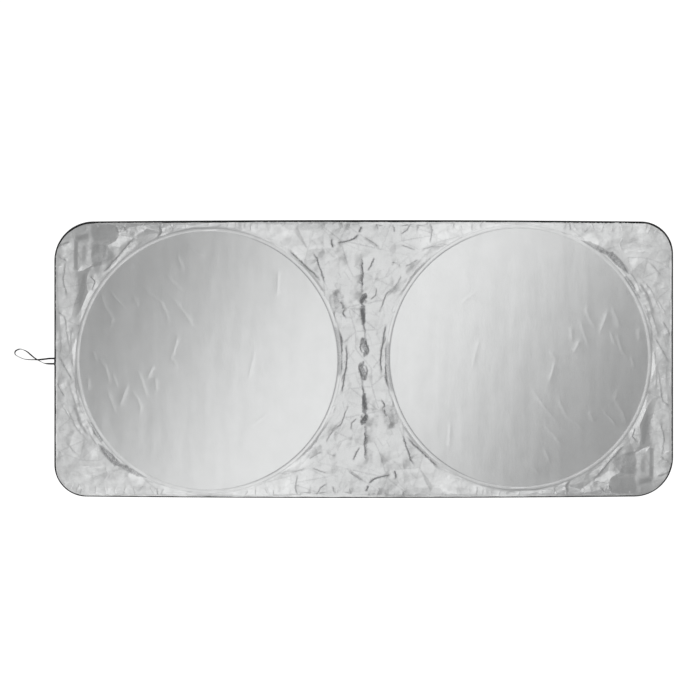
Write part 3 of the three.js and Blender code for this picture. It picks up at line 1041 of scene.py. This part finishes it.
disc_height = cloth(hoop_centre[None])[0][0]
print("The cloth lies", round(disc_height / mm, 1), "mm high in the middle of a disc")

# %% [markdown]
# The points are chosen so that the triangles follow the shape. Rings of them run along the tunnel,
# wide rings cover the disc, and close rows lie along every fold and every large crease. An even
# net of fine points fills what is left, and a point too close to an earlier one is left out.

# %% Points of the left half
fine = 2.9 * mm
row_step = 0.866 * fine  # the height of a triangle with equal sides
disc_step = 9  # in millimetres, from one ring to the next and along each ring
seam_spacing = 3.3 * mm
border_growth = 1.8 * mm


def ring(radius, spacing, number):
    """Points round the hoop's centre. Every other ring starts half a step further on."""
    count = round(2 * math.pi * radius / spacing)
    turn = (np.arange(count) + 0.5 * (number % 2)) / count * 2 * math.pi
    return hoop_centre + radius * np.column_stack([np.cos(turn), np.sin(turn)])


def along_lines(lines, spacing):
    return np.vstack([evenly(np.asarray(line), spacing) for line in lines])


tunnel_steps = np.array([-8, -6, -4.8, -4, -3.1, -2.1, -1, 0, 1, 2.1, 3.1, 4, 4.8, 6, 8]) * mm
tunnel_rings = [ring(hoop_radius + s, seam_spacing, i) for i, s in enumerate(tunnel_steps)]
disc_radii = np.arange(disc_step, 300, disc_step) * mm
disc_rings = [ring(r, disc_step * mm, i) for i, r in enumerate(disc_radii)]
fold_half = half_height - edge_inset
fold_points = evenly(np.array([[0, fold_half], [0, -fold_half]]), fine)[1:-1]
fold_points = (fold_points - fold_points[::-1]) / 2

fold_lines = []
for line, (_, steep, *_), _ in folds:
    if line[:, 0].min() < 0:
        way = np.gradient(line, axis=0)
        across = np.column_stack([way[:, 1], -way[:, 0]]) / np.hypot(*way.T)[:, None]
        fold_lines += [line, line + across * steep * mm]
facet_borders = []
for pixels, _ in fold_shade_facets.values():
    shape = on_shade([*pixels, pixels[0]])
    from_centre = shape - shape[1:].mean(axis=0)
    grown = shape + border_growth * from_centre / np.hypot(*from_centre.T)[:, None]
    facet_borders += [shape, grown, -shape, -grown]
columns = np.arange(-half_length, 0, fine)
grid = [
    np.column_stack([columns + 0.5 * fine * (i % 2), np.full(len(columns), y)])
    for i, y in enumerate(np.arange(-half_height, half_height, row_step))
]
loose_points = np.vstack(
    [
        along_lines(facet_borders, 2 * mm),
        along_lines(fold_lines, 2.2 * mm),
        along_lines(corner_creases, 2.4 * mm),
        along_lines(large_creases, 2.8 * mm),
        along_lines(middle_creases, 3 * mm),
        *grid,
    ]
)
print("There are", len(loose_points), "points for the loose cloth to choose from")

# %% Keep the points apart
loose_gap = 1.75 * mm
disc_gap = 1.9 * mm


def spread_out(points, gap, reserved):
    """The points that keep the gap to the reserved ones and to every point kept before."""
    taken = {}
    kept = []

    def cell(x, y):
        return math.floor(x / gap), math.floor(y / gap)

    def has_room(x, y):
        i, j = cell(x, y)
        for a in (i - 1, i, i + 1):
            for b in (j - 1, j, j + 1):
                for p, q in taken.get((a, b), ()):
                    if (p - x) ** 2 + (q - y) ** 2 < gap * gap:
                        return False
        return True

    for x, y in reserved.tolist():
        taken.setdefault(cell(x, y), []).append((x, y))
    for x, y in points.tolist():
        if has_room(x, y):
            taken.setdefault(cell(x, y), []).append((x, y))
            kept.append((x, y))
    return np.array(kept)


border = np.vstack([edge_line, fold_points])
out = round_hoop(loose_points)[1]
room = -line_distance(loose_points, edge_line)[0]
x, y = loose_points.T
inside = (out > 9 * mm) & (room > 1.5 * mm) & (x < -1.4 * mm)
inside &= (abs(x) < half_length - 3 * mm) & (abs(y) < half_height - 3 * mm)
spread = spread_out(loose_points[inside], loose_gap, border)
wrinkle_lines = [line for line, _, _ in folds if line[:, 0].max() < 0]
wrinkles = along_lines(wrinkle_lines, 2.5 * mm)
offsets = np.array([[0, 0], [2, 2], [-2, -2], [2, -2], [-2, 2]]) * mm
wrinkles = np.vstack([wrinkles + step for step in offsets])
wrinkles = wrinkles[round_hoop(wrinkles)[1] < -10 * mm]
disc_points = np.vstack([wrinkles, hoop_centre, *disc_rings])
cloud = np.vstack([border, *tunnel_rings, spread, spread_out(disc_points, disc_gap, border)])
print("Half of the sheet has", len(cloud), "points")

# %% [markdown]
# The cloth is a thin plain weave with a silver coat, so it shines like dull metal, and its tone
# drifts a little from place to place. The coat cracks where it has been folded often, and a cracked
# coat is dark; painted shade and shadow darken it too, in creases, beside the tunnels and on the
# corner's facets. The wear and shade layer says where. Outside the hoops the coat is rougher and less
# like metal, and it is painted paler there, partly as scuffed coat and partly as painted highlight.
# Plain paint would hide all this, so the colour is mixed in steps: the drifting silver, then the pale
# coat, then the dark cracks and painted shade.

# %% Colour of the silver cloth
silver = (0.42, 0.424, 0.424)
# A paler silver, partly scuffed coat and partly painted highlight.
scuffed_and_lit_silver = (0.58, 0.585, 0.585)
# A dark silver, for cracked coat and for painted shade and shadow.
cracked_and_shaded_silver = (0.15, 0.152, 0.155)
coat_roughness = 0.4
scuffed_roughness = 0.5
coat_metal = 0.88
scuffed_metal = 0.62
drift = 0.015  # how far the silver's tone drifts to either side
# How fine a noise is, how detailed, and which part of its range is carried over to which.
drift_noise = (24.0, 6.0, 0.36, 0.64, 0.0, 1.0)
scuff_noise = (26.0, 4.0, 0.36, 0.6, 0.45, 1.1)
crack_noise = (420.0, 3.0, 0.3, 0.6, 0.5, 1.0)

silver_cloth, shader = new_finish("silver_cloth", silver, coat_roughness, coat_metal)
where = add_node(silver_cloth, "ShaderNodeTexCoord").outputs["Object"]
wear_and_shade, looseness, scuff_and_highlight_share = [
    add_node(silver_cloth, "ShaderNodeAttribute", attribute_name=name).outputs["Fac"]
    for name in ("wear_and_shade", "looseness", "scuff_and_highlight")
]


def calculate(finish, operation, first, second, clamp=False):
    """The result of one sum on two sockets or numbers."""
    node = add_node(finish, "ShaderNodeMath", operation=operation, use_clamp=clamp)
    for socket, value in zip(node.inputs, (first, second)):
        if isinstance(value, (int, float)):
            socket.default_value = value
        else:
            join(finish, value, socket)
    return node.outputs[0]


def from_range(finish, value, low, high, at_low, at_high):
    """The value carried over from one range to another, and held at its ends."""
    node = add_node(finish, "ShaderNodeMapRange")
    join(finish, value, node.inputs["Value"])
    for name, number in zip(("From Min", "From Max", "To Min", "To Max"), (low, high, at_low, at_high)):
        node.inputs[name].default_value = number
    return node.outputs["Result"]


def noise(finish, scale, detail):
    return texture(finish, "ShaderNodeTexNoise", where, scale=scale, detail=detail)


def uneven(finish, scale, detail, *ranges):
    """A noise carried over from one range to another."""
    return from_range(finish, noise(finish, scale, detail), *ranges)


drifting = mix(
    silver_cloth,
    uneven(silver_cloth, *drift_noise),
    tone(silver, 1 - drift),
    tone(silver, 1 + drift),
)
# Paler where the coat is scuffed, and where highlight is painted.
rubbed_and_lit = calculate(silver_cloth, "MULTIPLY", scuff_and_highlight_share, uneven(silver_cloth, *scuff_noise))
# Darker where the coat is cracked and where shade and shadow are painted.
cracked_and_shaded = calculate(silver_cloth, "MULTIPLY", wear_and_shade, uneven(silver_cloth, *crack_noise))
coat = mix(silver_cloth, rubbed_and_lit, drifting, scuffed_and_lit_silver)
join(silver_cloth, mix(silver_cloth, cracked_and_shaded, coat, cracked_and_shaded_silver), shader.inputs["Base Color"])
shine = from_range(silver_cloth, scuff_and_highlight_share, 0.0, 1.0, coat_roughness, scuffed_roughness)
join(silver_cloth, shine, shader.inputs["Roughness"])
metal = from_range(silver_cloth, scuff_and_highlight_share, 0.0, 1.0, coat_metal, scuffed_metal)
join(silver_cloth, metal, shader.inputs["Metallic"])
print("The colour of the silver takes", len(silver_cloth.node_tree.nodes), "nodes")

# %% [markdown]
# Three reliefs lie on top of each other as bumps, because each is finer than the mesh: the weave of
# the cloth, long soft ripples that cross the taut discs, and a soft crumple where the cloth is loose.

# %% Relief of the silver cloth
weave_scale = 785.0  # a thread every 0.4 mm
weave_strength = 0.25
weave_depth = 0.06 * mm
ripple_scale = 22.0
ripple_stretch = (1.0, 0.3, 1.0)
ripple_slant = math.radians(-14)
ripple_depth = 0.9 * mm
crumple_scale = 110.0
crumple_depth = 0.5 * mm

weave_x, weave_y = [
    texture(silver_cloth, "ShaderNodeTexWave", where, bands_direction=way, scale=weave_scale)
    for way in ("X", "Y")
]
weave = calculate(silver_cloth, "MULTIPLY", weave_x, weave_y)
threads = bump(silver_cloth, weave, weave_depth, weave_strength)
stretched = add_node(silver_cloth, "ShaderNodeMapping")
stretched.inputs["Scale"].default_value = ripple_stretch
stretched.inputs["Rotation"].default_value = (0, 0, ripple_slant)
join(silver_cloth, where, stretched.inputs["Vector"])
ripple = texture(
    silver_cloth, "ShaderNodeTexNoise", stretched.outputs["Vector"], scale=ripple_scale, detail=1.5
)
ripples = bump(silver_cloth, ripple, ripple_depth, under=threads)
soft_crumple = calculate(silver_cloth, "MULTIPLY", noise(silver_cloth, crumple_scale, 3.0), looseness)
relief = bump(silver_cloth, soft_crumple, crumple_depth, under=ripples)
join(silver_cloth, relief, shader.inputs["Normal"])
print("The whole silver finish has", len(silver_cloth.node_tree.nodes), "nodes")

# %% [markdown]
# The triangulation joins the left half's points, and its copy is turned by half a turn. The two
# halves share the points of the fold down the middle, so the cloth is one piece.

# %% Make the sheet
keep_inside = 1  # the triangulation's choice to drop what lies outside the border
sharpest_smooth = math.radians(13)
border_ring = [(i, (i + 1) % len(border)) for i in range(len(border))]
half_points, _, half_faces, *_ = delaunay_2d_cdt(
    [Vector(p) for p in cloud], border_ring, [], keep_inside, 1e-7
)
half_flat = np.array([tuple(p) for p in half_points])
half_faces = np.array(half_faces)
half_rise, half_wear_and_shade, half_loose = cloth(half_flat)
print("Half of the sheet rises to", round(half_rise.max() / mm, 1), "mm")

on_fold = np.abs(half_flat[:, 0]) < 1e-6
order = np.argsort(half_flat[on_fold, 1])
fold_numbers = np.nonzero(on_fold)[0][order]
half_size = len(half_flat)
other_half = np.arange(half_size) + half_size
other_half[fold_numbers] = fold_numbers[::-1]
left = np.column_stack([half_flat, half_rise])
used = np.ones(2 * half_size, bool)
used[fold_numbers + half_size] = False
renumber = np.cumsum(used) - 1
sheet_faces = renumber[np.vstack([half_faces, other_half[half_faces]])]
sheet_points = np.vstack([left, left * (-1, -1, 1)])[used]

sheet = add_mesh("silver_sheet_cloth", sheet_points, sheet_faces.tolist(), silver_cloth)
# The first layer says how dark the coat is painted, for cracks and for painted shade and shadow.
layers = {"wear_and_shade": half_wear_and_shade, "looseness": half_loose, "scuff_and_highlight": scuff_and_highlight(half_flat)}
for name, values in layers.items():
    write_layer(sheet, name, np.concatenate([values, values])[used])
sheet.data.set_sharp_from_angle(angle=sharpest_smooth)
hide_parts("silver_sheet")
print("The sheet has", len(sheet_faces), "faces")

# %% [markdown]
# A black tape is folded over the cut edge and sewn down, so the edge can't fray. It is a closed
# band that follows the outline: flat under the shade, round at the outside, a little crowned on
# top. Its inner edge is a separate line from its outer one, because a tape folded by hand shows more
# of itself along the top than along the bottom.

# %% Make the bound edge
binding_steps = 1400
binding_top = 1.75 * mm
binding_under = 4.5 * mm
front_width = {"top": 5.2 * mm, "side": 3.6 * mm, "bottom": 2.6 * mm}
width_drift = 0.22 * mm
section_pitch = 0.8 * mm  # what the weave takes for the way from one corner of the section to the next
# Across the tape, from the underside round the outside to the top: share of the width, height.
tape_section = [
    (1.0, 0.04), (0.5, 0.0), (0.14, 0.02), (0.03, 0.2), (0.0, 0.5), (0.03, 0.78),
    (0.12, 0.94), (0.4, 1.0), (0.8, 0.98), (0.95, 0.93), (1.0, 0.82), (1.0, 0.55),
]
under_count = 3  # how many corners of the section lie on the underside


def whole_outline(inset, count):
    """The whole outline, clockwise from the bottom middle, as evenly spaced points."""
    half = half_outline(inset, 1 * mm)
    ring_line = np.vstack([half, -half[1:]])
    return evenly(ring_line, walked_along(ring_line)[-1] / count)[:count]


def inward(line):
    """The direction into the shade at each point of a closed clockwise line."""
    ahead = unit(np.roll(line, -1, axis=0) - np.roll(line, 1, axis=0))
    return np.column_stack([ahead[:, 1], -ahead[:, 0]])


edge = whole_outline(0, binding_steps)
edge_inward = inward(edge)
upward_share = -edge_inward[:, 1]
folded_width = front_width["side"] + np.where(
    upward_share > 0,
    (front_width["top"] - front_width["side"]) * upward_share,
    (front_width["side"] - front_width["bottom"]) * upward_share,
)
step_angle = np.linspace(0, 2 * math.pi, binding_steps, endpoint=False)
folded_width += width_drift * (np.sin(37 * step_angle) + np.sin(91 * step_angle + 1))
points = []
for k, (share, level) in enumerate(tape_section):
    width = binding_under if k < under_count else folded_width
    spot = edge + (share * width * np.ones(binding_steps))[:, None] * edge_inward
    points.append(np.column_stack([spot, np.full(binding_steps, level * binding_top)]))
points = np.stack(points, axis=1).reshape(-1, 3)
sides = len(tape_section)
number = np.arange(binding_steps * sides).reshape(binding_steps, sides)
after = np.roll(number, -1, axis=0)
faces = np.stack([number, after, np.roll(after, -1, axis=1), np.roll(number, -1, axis=1)], axis=-1)
print("The bound edge is", round(walked_along(edge)[-1], 2), "m round")

# %% Finish of the bound edge
black_binding = woven_finish(
    "black_binding",
    (0.008, 0.008, 0.0085),
    0.8,
    0.0,
    0.35,
    "ShaderNodeTexWave",
    0.0002,
    place_name="along_and_across",
    bands_direction="DIAGONAL",
    scale=420.0,
    distortion=0.6,
)
bound_edge = add_mesh("bound_edge_tape", points, faces.reshape(-1, 4).tolist(), black_binding)
place = np.zeros((binding_steps, sides, 3))
place[:, :, 0] = walked_along(edge)[:, None]
place[:, :, 1] = np.arange(sides)[None] * section_pitch
write_layer(bound_edge, "along_and_across", place.reshape(-1, 3))
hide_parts("edge_binding")
print("The bound edge has", len(bound_edge.data.polygons), "faces")

# %% [markdown]
# Two kinds of seam show: black thread along the bound edge, and grey thread along both sides of each
# tunnel. A stitch is a short thread that dives into the cloth at both ends. One small grain shape is
# copied to every place, which is quicker than a curve for each stitch.

# %% Seam of the bound edge
# A stitch from one tip to the other: how far along, how wide and how high, as shares of its size.
stitch_rings = [(-0.3, 0.42, 0.1), (0.0, 0.5, 0.3), (0.3, 0.42, 0.1)]
stitch_tips = [(-0.5, 0, -0.5), (0.5, 0, -0.5)]
stitch_corners = 5
seam_share = 0.62  # how far across the folded tape its seam lies


def stitch_row(places, ways, heights, length, thickness):
    """Points and faces of a row of stitches: one thin grain at each place."""
    grain = [
        (along, radius * math.cos(turn), radius * math.sin(turn) + rise)
        for along, radius, rise in stitch_rings
        for turn in 2 * math.pi * np.arange(stitch_corners) / stitch_corners
    ]
    grain = np.array([*grain, *stitch_tips]) * (length, thickness, thickness)
    first_tip, last_tip = len(grain) - 2, len(grain) - 1
    faces = []
    for k in range(stitch_corners):
        after = (k + 1) % stitch_corners
        faces.append((first_tip, after, k))
        for start in (0, stitch_corners):
            a, b = start + k, start + after
            c, d = a + stitch_corners, b + stitch_corners
            faces += [(a, b, d), (a, d, c)]
        faces.append((last_tip, 2 * stitch_corners + k, 2 * stitch_corners + after))
    sideways = np.column_stack([-ways[:, 1], ways[:, 0]])
    along, across, rise = [part[None, :, None] for part in grain.T]
    flat = places[:, None] + along * ways[:, None] + across * sideways[:, None]
    points = np.dstack([flat, heights[:, None, None] + rise]).reshape(-1, 3)
    numbers = np.arange(len(places))[:, None, None] * len(grain) + np.array(faces)[None]
    return points, numbers.reshape(-1, 3)


def thread_finish(name, colour, roughness, shine):
    return woven_finish(
        name, colour, roughness, 0.0, shine, "ShaderNodeTexWave", 0.0001,
        bands_direction="DIAGONAL", scale=900.0,
    )


seam_line = edge + seam_share * folded_width[:, None] * edge_inward
seam_ways = unit(np.roll(seam_line, -1, axis=0) - seam_line)
seam_heights = np.full(binding_steps, binding_top)
points, faces = stitch_row(seam_line, seam_ways, seam_heights, 2.4 * mm, 0.4 * mm)
black_thread = thread_finish("black_thread", (0.006, 0.006, 0.007), 0.8, 0.2)
edge_seam = add_mesh("bound_edge_seam", points, faces.tolist(), black_thread)
print("The bound edge has", binding_steps, "stitches")

# %% Seams of the tunnels
tunnel_pitch = 2.6 * mm
grey_thread = thread_finish("grey_thread", (0.26, 0.26, 0.27), 0.6, 0.4)
count = round(circumference / tunnel_pitch)
turn = 2 * math.pi * np.arange(count) / count
outward = np.column_stack([np.cos(turn), np.sin(turn)])
onward = np.column_stack([-outward[:, 1], outward[:, 0]])
for name, centre, sign in (("left", hoop_centre, 1), ("right", -hoop_centre, -1)):
    rows = []
    for off in (-half_tunnel, half_tunnel):
        spots = centre + (hoop_radius + off) * outward
        rows.append(stitch_row(spots, onward, cloth(spots * sign)[0], 2.0 * mm, 0.36 * mm))
    (inner, inner_faces), (outer, outer_faces) = rows
    faces = np.vstack([inner_faces, outer_faces + len(inner)])
    points = np.vstack([inner, outer])
    seam = add_mesh(f"{name}_tunnel_seams", points, faces.tolist(), grey_thread)
print("Each tunnel has", 2 * count, "stitches")

# %% [markdown]
# A bar tack holds both ends of the elastic: a dense little zigzag of black thread, as on a belt
# loop. It lies along the outside of the bound edge, from one end of the elastic to the other.

# %% Make the bar tack
tack_low, tack_high = -14.5 * mm, 3.6 * mm
tack_from_edge = 1.5 * mm
tack_width = 4.8 * mm
tack_thread = 0.85 * mm
tack_count = 44
tack_y = np.linspace(tack_low, tack_high, tack_count)
tack_places = np.column_stack([np.full(tack_count, -half_length + tack_from_edge), tack_y])
tack_ways = np.column_stack([np.full(tack_count, 0.985), 0.17 * (-1) ** np.arange(tack_count)])
tack_heights = np.full(tack_count, binding_top)
points, faces = stitch_row(tack_places, tack_ways, tack_heights, tack_width, tack_thread)
bar_tack = add_mesh("elastic_bar_tack", points, faces.tolist(), black_thread)
print("The bar tack is", round((tack_high - tack_low) / mm, 1), "mm long")

# %% [markdown]
# The silver shows whatever hangs above it. The photograph's discs run from dark to light along one
# slanted direction, which is how one long softbox looks in a rough mirror. So one long lamp hangs
# slantwise over the shade, and it isn't seen itself. The world round it is a sky that fades from
# white walls to a grey ceiling, so the shade has a white background from the side too.

# %% Light
white_walls, grey_ceiling = 1.0, 0.48
walls_top, ceiling_start = 0.27, 0.62  # how far up each is seen, from 0 at the horizon to 1 overhead
strip_length, strip_width = 4.0, 0.88
strip_height = 1.3
strip_slant = math.radians(60)
strip_radiance = 1.95

world = bpy.data.worlds.new("studio")
bpy.context.scene.world = world
world.use_nodes = True
direction = add_node(world, "ShaderNodeTexCoord").outputs["Generated"]
upward = add_node(world, "ShaderNodeSeparateXYZ")
join(world, direction, upward.inputs["Vector"])
brightness = from_range(world, upward.outputs["Z"], walls_top, ceiling_start, white_walls, grey_ceiling)
background = world.node_tree.nodes["Background"]
background.inputs["Color"].default_value = (1, 1, 1, 1)
join(world, brightness, background.inputs["Strength"])

strip_data = bpy.data.lights.new("long_softbox", "AREA")
strip_data.shape = "RECTANGLE"
strip_data.size = strip_length
strip_data.size_y = strip_width
strip_data.energy = strip_radiance * math.pi * strip_length * strip_width
strip = add_object("long_softbox", strip_data)
strip.location = (0, 0, strip_height)
strip.rotation_euler = (0, 0, strip_slant)
strip.visible_camera = False
print("The softbox is", strip_length, "by", strip_width, "m, at", strip_height, "m")

# %% [markdown]
# The shade lies on a plain white floor. A floor that is white paint under these lamps would only be
# grey, and stronger lamps would bleach the silver. So the floor has a grey paint, which takes the
# shadow, and it glows a little for the camera and for the mirrorings in the silver. It throws no
# light on the shade itself, because other rays don't see that glow.

# %% Floor
floor_grey = (0.3, 0.3, 0.3)
floor_glow = 0.83
floor_side = 40.0
floor_finish, floor_shader = new_finish("white_floor", floor_grey, 0.9)
rays = add_node(floor_finish, "ShaderNodeLightPath").outputs
seen = calculate(floor_finish, "ADD", rays["Is Camera Ray"], rays["Is Glossy Ray"], clamp=True)
seen = calculate(floor_finish, "ADD", seen, rays["Is Transmission Ray"], clamp=True)
glow = calculate(floor_finish, "MULTIPLY", seen, floor_glow)
floor_shader.inputs["Emission Color"].default_value = (1, 1, 1, 1)
join(floor_finish, glow, floor_shader.inputs["Emission Strength"])
floor_mesh = bpy.data.meshes.new("floor")
corners = [(x * floor_side, y * floor_side, 0) for x, y in ((-1, -1), (1, -1), (1, 1), (-1, 1))]
floor_mesh.from_pydata(corners, [], [(0, 1, 2, 3)])
floor_mesh.materials.append(floor_finish)
floor = add_object("floor", floor_mesh)
floor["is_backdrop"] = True
bpy.context.scene.view_settings.view_transform = "Standard"
print("The floor is", 2 * floor_side, "m wide")

# %% [markdown]
# Behind the sheet each tunnel is closed by a silver tape, and in it lies the wire. It is tempered
# spring steel, drawn and oiled, so it is dark and smooth with faint draw marks. Its two ends meet in
# a pressed steel ferrule, which is lighter and a little rougher. These three solids stay as they
# were measured and only get their finish.

# %% Finishes of the hoops
hoop_finishes = {
    "tape": woven_finish(
        "silver_tape", (0.52, 0.52, 0.525), 0.55, 0.35, 0.5, "ShaderNodeTexWave", 0.0001,
        bands_direction="DIAGONAL", scale=600.0, distortion=0.5,
    ),
    "wire": woven_finish(
        "spring_steel", (0.22, 0.22, 0.235), 0.32, 1.0, 0.5, "ShaderNodeTexNoise", 0.00003,
        scale=260.0, detail=4.0,
    ),
    "ferrule": woven_finish(
        "ferrule_steel", (0.46, 0.455, 0.45), 0.38, 1.0, 0.5, "ShaderNodeTexNoise", 0.00004,
        scale=700.0, detail=3.0,
    ),
}
for side in ("left", "right"):
    for part, finish in hoop_finishes.items():
        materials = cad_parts[f"{side}_hoop_{part}"].data.materials
        materials.clear()
        materials.append(finish)
print("Finished", ", ".join(finish.name for finish in hoop_finishes.values()))

# %% [markdown]
# Last, the size of all that shows is measured and printed, beside the size of the measured solids
# that was printed at the start, so that the two can be compared.

# %% Size of the dressed shade
low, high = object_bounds()
print("The dressed shade measures", [round((b - a) / mm, 1) for a, b in zip(low, high)], "mm")
